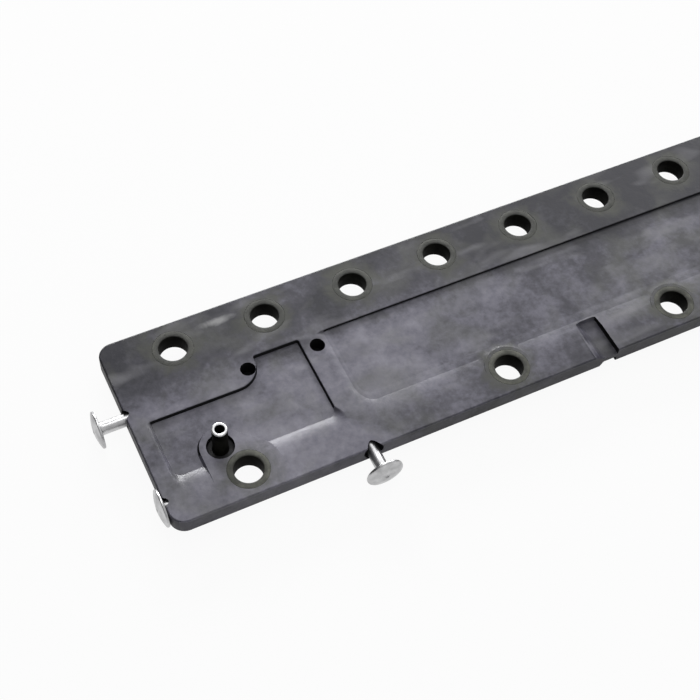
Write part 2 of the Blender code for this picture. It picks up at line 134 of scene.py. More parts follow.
def corner_path(corners, steps=8):
    """Path whose sides run along X or Y, from rows of (x, y, radius, lean of the next side, bulge).

    The outward normal turns as n = n_in cos(a) + n_out sin(a) over a corner, the point is the corner's
    centre + r n, and the lean turns with it, so a steep side runs smoothly into a sloping one. A bulge
    adds n_out sin(2a) times its size to the lean, which rounds the end of a slope beside a steep side.
    """
    corners = np.array(corners, float)
    place, radius, lean, bulge = corners[:, :2], corners[:, 2:3], corners[:, 3:4], corners[:, 4:5]
    side_in = unit(place - np.roll(place, 1, 0))
    side_out = unit(np.roll(place, -1, 0) - place)
    normal_in = np.stack([side_in[:, 1], -side_in[:, 0]], 1)
    normal_out = np.stack([side_out[:, 1], -side_out[:, 0]], 1)
    hand = np.sign(side_in[:, 0] * side_out[:, 1] - side_in[:, 1] * side_out[:, 0])[:, None]
    centre = place - hand * radius * (normal_in + normal_out)
    turn = np.linspace(0, math.pi / 2, steps + 1)[None, :, None]
    normals = normal_in[:, None] * np.cos(turn) + normal_out[:, None] * np.sin(turn)
    points = centre[:, None] + (hand * radius)[:, None] * normals
    leans = normal_in[:, None] * np.cos(turn) * np.roll(lean, 1, 0)[:, None]
    leans = leans + normal_out[:, None] * (np.sin(turn) * lean[:, None] + np.sin(2 * turn) * bulge[:, None])
    return points.reshape(-1, 2), normals.reshape(-1, 2), leans.reshape(-1, 2)


def hull_path(first, first_radius, second, second_radius, steps=24):
    """Path round two circles and their outer tangents, with its outward normals."""
    span = np.array(second, float) - np.array(first, float)
    heading = math.atan2(span[1], span[0])
    opening = math.acos((first_radius - second_radius) / np.linalg.norm(span))
    turn = np.concatenate([
        np.linspace(heading + opening, heading + math.tau - opening, steps + 1),
        np.linspace(heading - opening, heading + opening, steps + 1),
    ])
    normals = np.stack([np.cos(turn), np.sin(turn)], 1)
    centres = np.repeat([first, second], steps + 1, 0)
    radii = np.repeat([first_radius, second_radius], steps + 1)[:, None]
    return centres + radii * normals, normals, np.zeros_like(normals)


def carried(path, profile):
    """Rings of points: each profile row (lean share, offset, height) moves the whole path once."""
    points, normals, leans = path
    share, offset, height = np.array(profile, float).T[:, :, None, None]
    flat = points + share * leans + offset * normals
    return np.concatenate([flat, np.broadcast_to(height, flat.shape[:2] + (1,))], 2)


# %% [markdown]
# ## From rings to a closed mesh
#
# Neighbouring rings are joined by rows of four-sided faces. A solid closes its first and last ring with
# a face each, and a hollow ring joins its last row to its first. If the volume, the sum of each face's
# a . (b x c) over six, comes out negative, the faces point inwards and all are turned round. Each face
# corner also gets a map place, with the way round in u and the way along the profile in v, in
# millimetres, so that turning marks can run round a pin or ring later on.


# %% Helpers for meshes and pieces
def grid_mesh(name, rings, hollow=False):
    """Closed mesh from rings of points with the shape (rows, columns, 3), in millimetres."""
    rows, columns = rings.shape[:2]
    number = np.arange(rows * columns).reshape(rows, columns)
    low = number if hollow else number[:-1]
    high = np.roll(number, -1, 0) if hollow else number[1:]
    quads = np.stack([low, np.roll(low, -1, 1), np.roll(high, -1, 1), high], 2).reshape(-1, 4)
    points = rings.reshape(-1, 3)
    caps = [] if hollow else [number[0][::-1], number[-1]]
    corners = points[quads]
    volume = np.einsum("ij,ij->", corners[:, 0], np.cross(corners[:, 1], corners[:, 2]))
    volume += np.einsum("ij,ij->", corners[:, 0], np.cross(corners[:, 2], corners[:, 3]))
    for cap in caps:
        fan = points[cap]
        volume += np.einsum("j,ij->", fan[0], np.cross(fan[1:-1], fan[2:]))
    faces = [face.tolist() for face in quads] + [cap.tolist() for cap in caps]
    if volume < 0:
        faces = [face[::-1] for face in faces]
    mesh = bpy.data.meshes.new(name)
    mesh.from_pydata((points * MM).tolist(), [], faces)
    steps = np.linalg.norm(np.diff(rings, axis=0), axis=2).mean(1)
    along = np.repeat(np.concatenate([[0], np.cumsum(steps)]), columns)
    around = np.tile(np.arange(columns) / columns, rows)
    corner = np.empty(len(mesh.loops), np.int32)
    mesh.loops.foreach_get("vertex_index", corner)
    mesh.uv_layers.new(name="way_round").data.foreach_set(
        "uv", np.stack([around[corner], along[corner]], 1).astype(np.float32).ravel()
    )
    return mesh


def add_mesh(name, mesh, material=None):
    obj = bpy.data.objects.new(name, mesh)
    bpy.context.scene.collection.objects.link(obj)
    if material:
        mesh.materials.clear()
        mesh.materials.append(material)
    return obj


def shade_soft(mesh, angle=38):
    """Smooth shading that keeps an edge crisp where its faces meet at more than the angle."""
    mesh.shade_smooth()
    mesh.set_sharp_from_angle(angle=math.radians(angle))


def stand_for(obj, node):
    """Let a finer piece stand for a CAD node, on the node's body."""
    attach(obj, BODY_OF[node])
    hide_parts(node)
    return obj


def turned_rings(profile, origin=(0, 0, 0), axis=(0, 0, 1), sides=72):
    """Rings of a turned piece: profile rows (radius, height) go round the axis through the origin."""
    profile = np.array(profile, float)
    rows = np.column_stack([np.zeros(len(profile)), profile])
    rings = carried(circle_path(sides=sides), rows)
    turn = np.array(Vector(axis).to_track_quat("Z", "Y").to_matrix())
    return rings @ turn.T + np.array(origin, float)


# %% [markdown]
# ## Finishes
#
# Each finish is worked out from the place of a point, either in the room (Object coordinates) or along
# the piece's own map. No picture is needed, and the clouds run on over every edge. The helpers below put
# the nodes of such a finish together. An even colour would look like paint, so none is left even.


# %% Helpers for materials
def new_material(name, **values):
    """Material with one Principled shader, whose steady values sit on its own sockets."""
    mat = bpy.data.materials.new(name)
    mat.use_nodes = True
    shader = mat.node_tree.nodes["Principled BSDF"]
    for key, value in values.items():
        shader.inputs[key.replace("_", " ")].default_value = value
    return mat, mat.node_tree, shader


def add_node(tree, kind, settings=None, **inputs):
    """New node whose inputs take a value or the output of another node."""
    made = tree.nodes.new(kind)
    for key, value in (settings or {}).items():
        setattr(made, key, value)
    for key, value in inputs.items():
        socket = made.inputs[key.replace("_", " ")]
        if isinstance(value, bpy.types.NodeSocket):
            tree.links.new(value, socket)
        else:
            socket.default_value = value
    return made


def noise(tree, vector, scale, detail=4.0, roughness=0.55, distortion=0.0):
    """Noise from 0 to 1, with the scale in waves per metre."""
    made = add_node(
        tree, "ShaderNodeTexNoise", Vector=vector, Scale=scale, Detail=detail, Roughness=roughness,
        Distortion=distortion,
    )
    return made.outputs[0]


def ramp(tree, value, stops):
    """Colour ramp from rows of (place, red, green, blue)."""
    made = add_node(tree, "ShaderNodeValToRGB", Fac=value)
    band = made.color_ramp
    while len(band.elements) < len(stops):
        band.elements.new(0.5)
    for element, stop in zip(band.elements, stops):
        element.position = stop[0]
        element.color = (*stop[1:], 1)
    return made.outputs[0]


def blend_colours(tree, factor, first, second, kind="MIX"):
    made = tree.nodes.new("ShaderNodeMix")
    made.data_type = "RGBA"
    made.blend_type = kind
    for socket, value in zip((made.inputs[0], made.inputs[6], made.inputs[7]), (factor, first, second)):
        if isinstance(value, bpy.types.NodeSocket):
            tree.links.new(value, socket)
        else:
            socket.default_value = value
    return made.outputs[2]


def spread(tree, value, low, high, out_low, out_high):
    """Map a value from one range to another, held at the ends."""
    made = tree.nodes.new("ShaderNodeMapRange")
    tree.links.new(value, made.inputs[0])
    for socket, number in zip(made.inputs[1:5], (low, high, out_low, out_high)):
        socket.default_value = number
    return made.outputs[0]


def maths(tree, operation, *values):
    """One Math node over values or the outputs of other nodes."""
    made = add_node(tree, "ShaderNodeMath", {"operation": operation})
    for socket, value in zip(made.inputs, values):
        if isinstance(value, bpy.types.NodeSocket):
            tree.links.new(value, socket)
        else:
            socket.default_value = value
    return made.outputs[0]


# %% [markdown]
# ### The moulded plate
#
# The plate is a semi-gloss moulding of glass-filled nylon, slate grey and clouded by handling. Its tone
# is a sum of clouds, patches and specks. As painted shade where the light falls off, it is darker along
# the back strip, toward the far end, a little at the near end and on the front land. Oil from drilling
# has left an olive halo round each bushing, so the distance to the nearest hole of each row is worked
# out. Long smears are scuffs, and one spot near the back edge is painted pale. Painted shade is stored
# on the faces when the plate is cut: it darkens and dulls the holes, the steep walls and the lower edge.

# %% The moulded plate's slate grey
PITCH = 32.0
back_row_y, front_row_y = middle_mm("back_bushing_1")[1], middle_mm("front_bushing_1")[1]
front_row_x = [abs(middle_mm(name)[0]) for name in ("front_bushing_4", "front_bushing_3")]


def distance_to(tree, along, across, row_y):
    """Distance in a row from the nearest bushing, sqrt(along^2 + (across - row_y)^2)."""
    side = maths(tree, "SUBTRACT", across, row_y * MM)
    squares = [maths(tree, "POWER", length, 2.0) for length in (along, side)]
    return maths(tree, "SQRT", maths(tree, "ADD", *squares))


moulding, tree, shader = new_material("slate_moulding")
place = add_node(tree, "ShaderNodeTexCoord").outputs["Object"]
axes = add_node(tree, "ShaderNodeSeparateXYZ", Vector=place)
clouds = noise(tree, place, 38, 3, 0.55, 0.7)
patches = noise(tree, place, 150, 4, 0.6, 0.4)
long_way = add_node(tree, "ShaderNodeMapping", Vector=place, Scale=(0.35, 1.0, 1.0)).outputs[0]
smears = noise(tree, long_way, 120, 2, 0.5, 0.3)
grain = noise(tree, place, 1500, 2, 0.5)
specks = noise(tree, place, 480, 3, 0.6)
tone = maths(tree, "ADD", clouds, spread(tree, patches, 0.3, 0.7, -0.1, 0.1))
tone = maths(tree, "ADD", tone, spread(tree, specks, 0.3, 0.7, -0.09, 0.09))
# Painted shade where the light falls off: darker along the back strip, toward the far end and a little at the near
# end.
tone = maths(tree, "ADD", tone, spread(tree, axes.outputs["Y"], 0.004, 0.018, 0.04, -0.38))
tone = maths(tree, "ADD", tone, spread(tree, axes.outputs["X"], -0.07, 0.05, 0.0, -0.28))
tone = maths(tree, "ADD", tone, spread(tree, axes.outputs["X"], -0.15, -0.12, -0.07, 0.0))
# Painted shade on the front land, except near the left end.
front_edge = spread(tree, axes.outputs["Y"], -0.027, -0.022, 0.13, 0.0)
held = maths(tree, "MULTIPLY", front_edge, spread(tree, axes.outputs["X"], -0.09, -0.07, 0.0, 1.0))
tone = maths(tree, "SUBTRACT", tone, held)
slate = ramp(
    tree, tone,
    [
        (0.0, 0.016, 0.016, 0.022), (0.25, 0.042, 0.041, 0.053), (0.5, 0.105, 0.102, 0.128),
        (0.8, 0.175, 0.171, 0.202),
    ],
)
wrapped = maths(tree, "WRAP", axes.outputs["X"], PITCH / 2 * MM, -PITCH / 2 * MM)
back_oil = distance_to(tree, wrapped, axes.outputs["Y"], back_row_y)
from_middle = maths(tree, "ABSOLUTE", axes.outputs["X"])
front_along = [maths(tree, "ABSOLUTE", maths(tree, "SUBTRACT", from_middle, x * MM)) for x in front_row_x]
front_oil = distance_to(tree, maths(tree, "MINIMUM", *front_along), axes.outputs["Y"], front_row_y)
oil = maths(tree, "MINIMUM", back_oil, front_oil)
oil = maths(tree, "ADD", oil, spread(tree, patches, 0.3, 0.7, -0.003, 0.003))
slate = blend_colours(tree, spread(tree, oil, 0.006, 0.011, 0.6, 0.0), slate, (0.055, 0.057, 0.043, 1))
olive = spread(tree, noise(tree, place, 62, 3, 0.5, 0.5), 0.5, 0.72, 0.0, 0.4)
slate = blend_colours(tree, olive, slate, (0.085, 0.088, 0.074, 1))
scuffs = spread(tree, smears, 0.58, 0.76, 0.0, 0.35)
slate = blend_colours(tree, scuffs, slate, (0.21, 0.208, 0.222, 1))
# A pale patch painted near the back edge.
pale_spot = add_node(
    tree, "ShaderNodeMapping", {"vector_type": "TEXTURE"}, Vector=place, Location=(-0.1117, 0.0289, 0.0065),
    Scale=(0.0055, 0.0013, 0.01),
).outputs[0]
from_spot = add_node(tree, "ShaderNodeVectorMath", {"operation": "LENGTH"}, Vector=pale_spot)
from_spot = maths(tree, "ADD", from_spot.outputs["Value"], spread(tree, patches, 0.3, 0.7, 0.5, -0.5))
slate = blend_colours(tree, spread(tree, from_spot, 0.2, 1.3, 0.6, 0.0), slate, (0.3, 0.3, 0.3, 1))
# Painted shade: faces stored as shaded go near black, rougher and with less gloss.
painted_shade = add_node(tree, "ShaderNodeAttribute", {"attribute_name": "painted_shade"}).outputs["Fac"]
slate = blend_colours(tree, painted_shade, slate, (0.012, 0.012, 0.013, 1))
tree.links.new(slate, shader.inputs["Base Color"])
rough = maths(tree, "ADD", spread(tree, smears, 0.3, 0.7, 0.3, 0.42), spread(tree, painted_shade, 0.0, 1.0, 0.0, 0.3))
tree.links.new(rough, shader.inputs["Roughness"])
tree.links.new(spread(tree, painted_shade, 0.0, 1.0, 0.3, 0.04), shader.inputs["Specular IOR Level"])
skin = add_node(tree, "ShaderNodeBump", Strength=0.2, Distance=0.00006, Height=grain).outputs[0]
wave = add_node(tree, "ShaderNodeBump", Strength=0.25, Distance=0.0005, Height=patches, Normal=skin)
tree.links.new(wave.outputs[0], shader.inputs["Normal"])
print("the plate's finish has", len(tree.nodes), "nodes")

# %% [markdown]
# ### Turned steel and nylon
#
# The pins are polished steel, the bushings blackened steel, and the index pin's collar black nylon. All
# are turned on a lathe, so fine marks run round them, along the way round of their map. A bushing's face
# is worn darker toward its bore, with an uneven border, and in the back row it is painted darker, as shade
# where the light falls off. Its bore is painted near black with hardly any gloss, as shade inside the
# hole, and the index pin's side is black oxide.


# %% Turned finishes
def turned_finish(name, dark, light, rough, metallic, gloss=0.5, marks=0.3, mark_depth=0.00002):
    """Turned surface: fine rings along the profile over a cloudy colour."""
    mat, tree, shader = new_material(name, Metallic=metallic, Specular_IOR_Level=gloss)
    way = add_node(tree, "ShaderNodeUVMap", {"uv_map": "way_round"}).outputs[0]
    squeezed = add_node(tree, "ShaderNodeMapping", Vector=way, Scale=(0.6, 3.0, 1.0)).outputs[0]
    rings = noise(tree, squeezed, 1.6, 3, 0.6)
    place = add_node(tree, "ShaderNodeTexCoord").outputs["Object"]
    cloud = spread(tree, noise(tree, place, 260, 3, 0.55, 0.3), 0.35, 0.65, 0, 1)
    colour = blend_colours(tree, cloud, (*dark, 1), (*light, 1))
    tree.links.new(colour, shader.inputs["Base Color"])
    tree.links.new(spread(tree, rings, 0.3, 0.7, rough[0], rough[1]), shader.inputs["Roughness"])
    marks_bump = add_node(tree, "ShaderNodeBump", Strength=marks, Distance=mark_depth, Height=rings)
    tree.links.new(marks_bump.outputs[0], shader.inputs["Normal"])
    return mat, tree, shader, colour


blackened, tree, shader, colour = turned_finish(
    "blackened_steel", (0.036, 0.038, 0.029), (0.08, 0.081, 0.066), (0.5, 0.62), 0.0, 0.3
)
way = add_node(tree, "ShaderNodeUVMap", {"uv_map": "way_round"}).outputs[0]
up_profile = add_node(tree, "ShaderNodeSeparateXYZ", Vector=way).outputs["Y"]
place = add_node(tree, "ShaderNodeTexCoord").outputs["Object"]
border = spread(tree, noise(tree, place, 420, 3, 0.6, 0.3), 0.3, 0.7, -0.7, 0.7)
toward_bore = spread(tree, maths(tree, "ADD", up_profile, border), 3.6, 5.1, 0.0, 0.72)
worn_and_back_row_shade = blend_colours(tree, toward_bore, colour, (0.014, 0.014, 0.011, 1))
# Painted shade: the back row's rings are darker, where the light falls off.
across = add_node(tree, "ShaderNodeSeparateXYZ", Vector=place).outputs["Y"]
worn_and_back_row_shade = blend_colours(tree, spread(tree, across, -0.01, 0.01, 0.0, 0.5), worn_and_back_row_shade, (0.026, 0.027, 0.026, 1))
tree.links.new(worn_and_back_row_shade, shader.inputs["Base Color"])
# Near black with hardly any gloss. It is painted shade in the bushings' bores and in the deep part of the dowel's
# hollow, and the real black oxide of the index pin's side.
oxide_and_bore_shade = turned_finish(
    "black_oxide_and_bore_shade", (0.003, 0.003, 0.0025), (0.012, 0.012, 0.01), (0.5, 0.62), 0.0, 0.015
)[0]
polished = turned_finish(
    "polished_steel", (0.4, 0.4, 0.405), (0.6, 0.6, 0.605), (0.32, 0.4), 1.0, marks=0.1, mark_depth=0.000001
)[0]
nylon = turned_finish("black_nylon", (0.012, 0.012, 0.013), (0.03, 0.03, 0.032), (0.5, 0.62), 0.0, 0.15)[0]
print("materials:", ", ".join(mat.name for mat in (moulding, blackened, oxide_and_bore_shade, polished, nylon)))

# %% [markdown]
# ## The moulded plate
#
# The plate is made as its mould is: a rounded slab first, then the pockets, the recess, the seats and
# the side bores are taken out of it with Boolean modifiers. Each cutter is a numpy surface whose wall
# already carries the small round at the rim and the fillet at the floor, so the edges catch the light
# as moulded edges do. A Bevel modifier could not round these edges alike, because the cuts leave short
# edges where round lands meet straight walls. The slab is its rounded outline, carried up its edge.

# %% The slab
EDGE_ROUND = 0.6
CORNER_RADIUS = 5.0
slab_path = corner_path([
    (-END_X, -BACK_Y, CORNER_RADIUS, 0, 0), (END_X, -BACK_Y, CORNER_RADIUS, 0, 0),
    (END_X, BACK_Y, CORNER_RADIUS, 0, 0), (-END_X, BACK_Y, CORNER_RADIUS, 0, 0),
], steps=14)
edge = rounded_profile(
    [(-1.5, 0), (0, 0), (0, THICKNESS), (-1.5, THICKNESS)], [EDGE_ROUND, EDGE_ROUND], steps=5
)
slab_rings = carried(slab_path, np.column_stack([np.zeros(len(edge)), edge]))
plate = add_mesh("moulded_plate", grid_mesh("moulded_plate", slab_rings[1:-1]), moulding)
print("slab:", len(plate.data.polygons), "faces")

# %% [markdown]
# ### Pockets and lands
#
# A pocket's back wall is steep, and its front and side slopes are long: they leave the top face without
# an edge, grow steeper as they fall, and meet the floor in a clear line. That is the law
# left = (1 - climb)^2 for how much of the depth is left. The middle pocket's slope ends on a low ledge
# above the floor, and the recess's slope is straight at first. A small quarter round is added at the rim
# and at the foot, which shows on the steep walls. The lands round the front bushings and the index pin
# stay at full height, so columns with a draft of their own are taken out of the pocket cutters first.

# %% Profiles of pockets and lands
RIM_ROUND = 0.14
FOOT_FILLET = 0.12
TOP_LIFT = 0.03
CLEAR = 1.0
LAND_DRAFT = 0.55
STEEP = 0.45
WALL_FOOT = 0.33


def quarter(distance, radius):
    """Sideways shift of a quarter round: the radius at distance 0, and nothing from the radius on."""
    reach = np.clip(radius - distance, 0, radius)
    return radius - np.sqrt(radius**2 - reach**2)


def pocket_profile(depth, below=((0, 1),)):
    """Profile of a pocket cutter from its floor to above the plate, in (lean share, offset, height).

    The rows below give (share, left) up to where the crown starts, with left = l (1 - climb)^2.
    """
    below = np.array(below, float)
    start, last_left = below[-1]
    climb = np.concatenate([[0, 0.02, 0.05, 0.09, 0.14, 0.2], np.linspace(0.27, 1, 12)])
    share = np.concatenate([below[:-1, 0], start + (1 - start) * climb])
    left = np.concatenate([below[:-1, 1], last_left * (1 - climb) ** 2])
    offset = quarter(left * depth, RIM_ROUND) - quarter((1 - left) * depth, FOOT_FILLET)
    wall = np.column_stack([share, offset, THICKNESS - left * depth])
    beyond = (1.04, RIM_ROUND + 0.03, THICKNESS + TOP_LIFT)
    return np.vstack([wall, [beyond, beyond + np.array([0, 0, CLEAR])]])


def land_profile(depth, draft=LAND_DRAFT):
    """Profile of a column that keeps a land at full height, from below the floor to above the plate."""
    floor = THICKNESS - depth
    wide = draft + FOOT_FILLET
    foot = bend((0, wide, floor - TOP_LIFT), (0, draft, floor), (0, 0.9 * draft, floor + 0.1 * depth))
    rim = bend((0, 0, THICKNESS - RIM_ROUND), (0, 0, THICKNESS), (0, -RIM_ROUND, THICKNESS + TOP_LIFT))
    top = [(0, -RIM_ROUND - 0.1, THICKNESS + 2 * CLEAR)]
    return np.vstack([[(0, wide + 0.1, floor - CLEAR)], foot, rim, top])


def joined(name, meshes):
    """One object from several closed meshes that stay apart."""
    parts = [add_mesh(f"{name}_{i}", mesh) for i, mesh in enumerate(meshes)]
    with bpy.context.temp_override(active_object=parts[0], selected_editable_objects=parts):
        bpy.ops.object.join()
    parts[0].name = name
    return parts[0]


def take_out(target, cutter):
    """Cut one object out of another for good, with an exact Boolean."""
    cut = target.modifiers.new("cut", "BOOLEAN")
    cut.operation = "DIFFERENCE"
    cut.solver = "EXACT"
    cut.object = cutter
    view = bpy.context.evaluated_depsgraph_get()
    result = bpy.data.meshes.new_from_object(target.evaluated_get(view))
    target.modifiers.clear()
    old = target.data
    target.data = result
    bpy.data.meshes.remove(old)
    bpy.data.objects.remove(cutter)


# %% [markdown]
# ### The three pockets
#
# An end pocket is bounded by the strip over the end pin's bore, by a step to the back strip and by the
# rib beside the middle pocket, and it slopes up to the front and to the end. The right end pocket is the
# left one mirrored. The middle pocket slopes up to the front and to both sides. The lands of the two inner
# bushings have a long soft skirt, because the photo shows no clear edge round them.

# %% Pockets
PIN_END_HOLE_RADIUS = 2.5
PIN_REACH = 41.7
HOLE_WALL = 0.75
STORE_RADIUS = 4.45
BACK_STRIP, BORE_STRIP, RIB = 22.95, 5.6, 4.9
END_STRIP, END_FRONT, END_DEPTH = 6.6, 16.0, 1.4
MIDDLE_FRONT, MIDDLE_DEPTH = 8.7, 1.0
FRONT_SLOPE, SIDE_SLOPE, SIDE_GAP = 11.0, 5.0, 0.7
LAND_RADIUS, SOFTER, SKIRT = 6.7 + 4.6, 3.3, 3.8
store_x, store_y = middle_mm("index_pin_collar")[:2]
end_pin_y = middle_mm("left_end_stop_pin")[1]
front_pin_x = middle_mm("right_front_stop_pin")[0]
outer_x, inner_x = front_row_x
pocket_back = BACK_Y - BACK_STRIP - WALL_FOOT
bore_back = end_pin_y - BORE_STRIP - WALL_FOOT
rib_x = -front_pin_x - RIB - WALL_FOOT
step_x = -END_X + PIN_REACH + PIN_END_HOLE_RADIUS + HOLE_WALL + WALL_FOOT
step_radius = 0.9 * (pocket_back - bore_back)
end_x, end_front = -END_X + END_STRIP, -BACK_Y + END_FRONT
end_corners = [
    (end_x, end_front, 2.4, 7.5, 0), (rib_x, end_front, 2.5, STEEP, 3.0),
    (rib_x, pocket_back, 0.5, STEEP, 0), (step_x, pocket_back, 0.5, STEEP, 0),
    (step_x, bore_back, step_radius, STEEP, 0), (end_x, bore_back, 0.5, 1.5, 0),
]
middle_x = front_pin_x - SIDE_GAP - SIDE_SLOPE
middle_front = -BACK_Y + MIDDLE_FRONT + FRONT_SLOPE
middle_corners = [
    (-middle_x, middle_front, 3.5, FRONT_SLOPE, 0), (middle_x, middle_front, 3.5, SIDE_SLOPE, 0),
    (middle_x, pocket_back, 0.5, STEEP, 0), (-middle_x, pocket_back, 0.5, SIDE_SLOPE, 0),
]
ledge = [(0.05, 1), (0.07, 0.985), (0.1, 0.955), (0.14, 0.91), (0.18, 0.865), (0.23, 0.83), (0.34, 0.805)]
end_rings = carried(corner_path(end_corners), pocket_profile(END_DEPTH))
middle_rings = carried(corner_path(middle_corners), pocket_profile(MIDDLE_DEPTH, ledge))
pockets = joined("pockets", [
    grid_mesh("left", end_rings),
    grid_mesh("right", end_rings * (-1, 1, 1)),
    grid_mesh("middle", middle_rings),
])
outer_land, soft_land = land_profile(END_DEPTH), land_profile(1.2, SKIRT)
store_path = hull_path((store_x, store_y), STORE_RADIUS + 2.15, (-outer_x, front_row_y), LAND_RADIUS)
lands = [
    grid_mesh("store_land", carried(store_path, outer_land)),
    grid_mesh("right_land", carried(circle_path(outer_x, front_row_y, LAND_RADIUS), outer_land)),
]
for x in (-inner_x, inner_x):
    soft_path = circle_path(x, front_row_y, LAND_RADIUS - SOFTER)
    lands.append(grid_mesh("inner_land", carried(soft_path, soft_land)))
take_out(pockets, joined("lands", lands))
take_out(plate, pockets)
print("with pockets:", len(plate.data.polygons), "faces")

# %% [markdown]
# ### The recess in the front edge
#
# The middle of the front edge is cut back on both faces, with a thin web left between. The right wall is
# steep, the left one is a long slope. The lower cutter is made the same way and turned over.

# %% Recess
RECESS_LEFT, RECESS_RIGHT, RECESS_BACK = -0.5, 4.5, 14.7


def recess_rings(depth, slope):
    """Rings of an open-fronted pocket whose path starts in front of the plate."""
    front, back = -BACK_Y - 2 * CLEAR, -BACK_Y + RECESS_BACK
    path = corner_path([
        (RECESS_LEFT, front, 0.5, 0.1, 0), (RECESS_RIGHT, front, 0.5, 0.12, 0),
        (RECESS_RIGHT, back, 0.5, 1.0, 0), (RECESS_LEFT, back, 0.5, slope, 0),
    ])
    straight = [(0.7 * climb, 1 - 0.85 * climb) for climb in (0, 0.02, 0.05, 0.09, 0.14, 0.2, 0.5, 0.85, 1)]
    return carried(path, pocket_profile(depth, straight))


upper = grid_mesh("upper", recess_rings(2.2, 4.5))
lower = grid_mesh("lower", recess_rings(2.6, 1.7) * (1, 1, -1) + (0, 0, THICKNESS))
take_out(plate, joined("recesses", [upper, lower]))
print("with the recess:", len(plate.data.polygons), "faces")

# %% [markdown]
# ### Bushing seats, the storage hole and the blind holes
#
# The bushings sit in round seats that go right through, the index pin stands in a deeper blind hole, and
# a small blind hole shows where each long pin ends. All are turned cutters with a small round at each rim
# that they open. A seat is only a hair wider than its ring, so that no open gap shows.

# %% Round cutters
def hole_rings(x, y, radius, floor=None, rim=0.05):
    """Rings of an upright round cutter, through the plate or down to a floor."""
    mouth = bend((radius, THICKNESS - rim), (radius, THICKNESS), (radius + rim, THICKNESS + TOP_LIFT))
    mouth = np.vstack([mouth, [(radius + rim, THICKNESS + CLEAR)]])
    foot = (mouth * (1, -1) + (0, THICKNESS))[::-1] if floor is None else [(radius, floor)]
    return turned_rings(np.vstack([foot, mouth]), (x, y, 0))


SEAT_GAP = 0.04
bushing_radius = (box_mm(BUSHINGS[0])[1] - box_mm(BUSHINGS[0])[0])[0] / 2
holes = [grid_mesh(name, hole_rings(*middle_mm(name)[:2], bushing_radius + SEAT_GAP)) for name in BUSHINGS]
holes.append(grid_mesh("store", hole_rings(store_x, store_y, STORE_RADIUS, 1.5)))
blind = [(side * front_pin_x, -BACK_Y + PIN_REACH) for side in (-1, 1)]
blind += [(side * (END_X - PIN_REACH), end_pin_y) for side in (-1, 1)]
holes += [grid_mesh("blind", hole_rings(x, y, PIN_END_HOLE_RADIUS, 1.0)) for x, y in blind]
take_out(plate, joined("holes", holes))
print("with holes:", len(plate.data.polygons), "faces")

# %% [markdown]
# ### Side bores and their mouths
#
# A stop pin slides in a bore that runs in from the edge. At the mouth a raised cone is taken out too,
# which opens the bore through the top face and leaves a rounded bite there, as the photo shows.

# %% Bores and bites
BORE_RADIUS = 2.18
PIN_Z = THICKNESS / 2
mouths = {
    "left_end_stop_pin": ((-END_X, end_pin_y), (-1, 0, 0), PIN_REACH, (3.4, 1.7)),
    "right_end_stop_pin": ((END_X, end_pin_y), (1, 0, 0), PIN_REACH, (3.4, 1.7)),
    "left_corner_stop_pin": ((-END_X, front_row_y), (-1, 0, 0), 18.0, (3.4, 1.7)),
    "right_corner_stop_pin": ((END_X, front_row_y), (1, 0, 0), 18.0, (3.4, 1.7)),
    "left_front_stop_pin": ((-front_pin_x, -BACK_Y), (0, -1, 0), PIN_REACH, (4.8, 2.7)),
    "right_front_stop_pin": ((front_pin_x, -BACK_Y), (0, -1, 0), PIN_REACH, (4.8, 2.7)),
}


def bore_rings(mouth, outward, depth):
    """Turned cutter for a bore: straight, then widening over the last 1.8 mm to clear the pin's neck."""
    profile = [
        (BORE_RADIUS, -depth), (BORE_RADIUS, -1.8), (BORE_RADIUS + 0.8, 0), (BORE_RADIUS + 1.25, CLEAR),
    ]
    return turned_rings(profile, (*mouth, PIN_Z), outward, 48)


def mouth_rings(mouth, outward, width, depth, lift=0.9):
    """Turned cutter for the bite over a bore: a cone on a raised axis that ends inside the bore."""
    to_top = THICKNESS - PIN_Z - lift
    widest = math.hypot(to_top, width / 2)
    slope = (widest - to_top) / depth
    narrow = BORE_RADIUS - lift - 0.3
    inner = -(widest - narrow) / slope
    profile = [(narrow, inner), (widest, 0), (widest + slope * CLEAR, CLEAR)]
    return turned_rings(profile, (*mouth, PIN_Z + lift), outward, 48)


take_out(plate, joined("bores", [grid_mesh(n, bore_rings(m, o, d)) for n, (m, o, d, _) in mouths.items()]))
take_out(plate, joined("bites", [grid_mesh(n, mouth_rings(m, o, *b)) for n, (m, o, _, b) in mouths.items()]))
print("with bores:", len(plate.data.polygons), "faces")
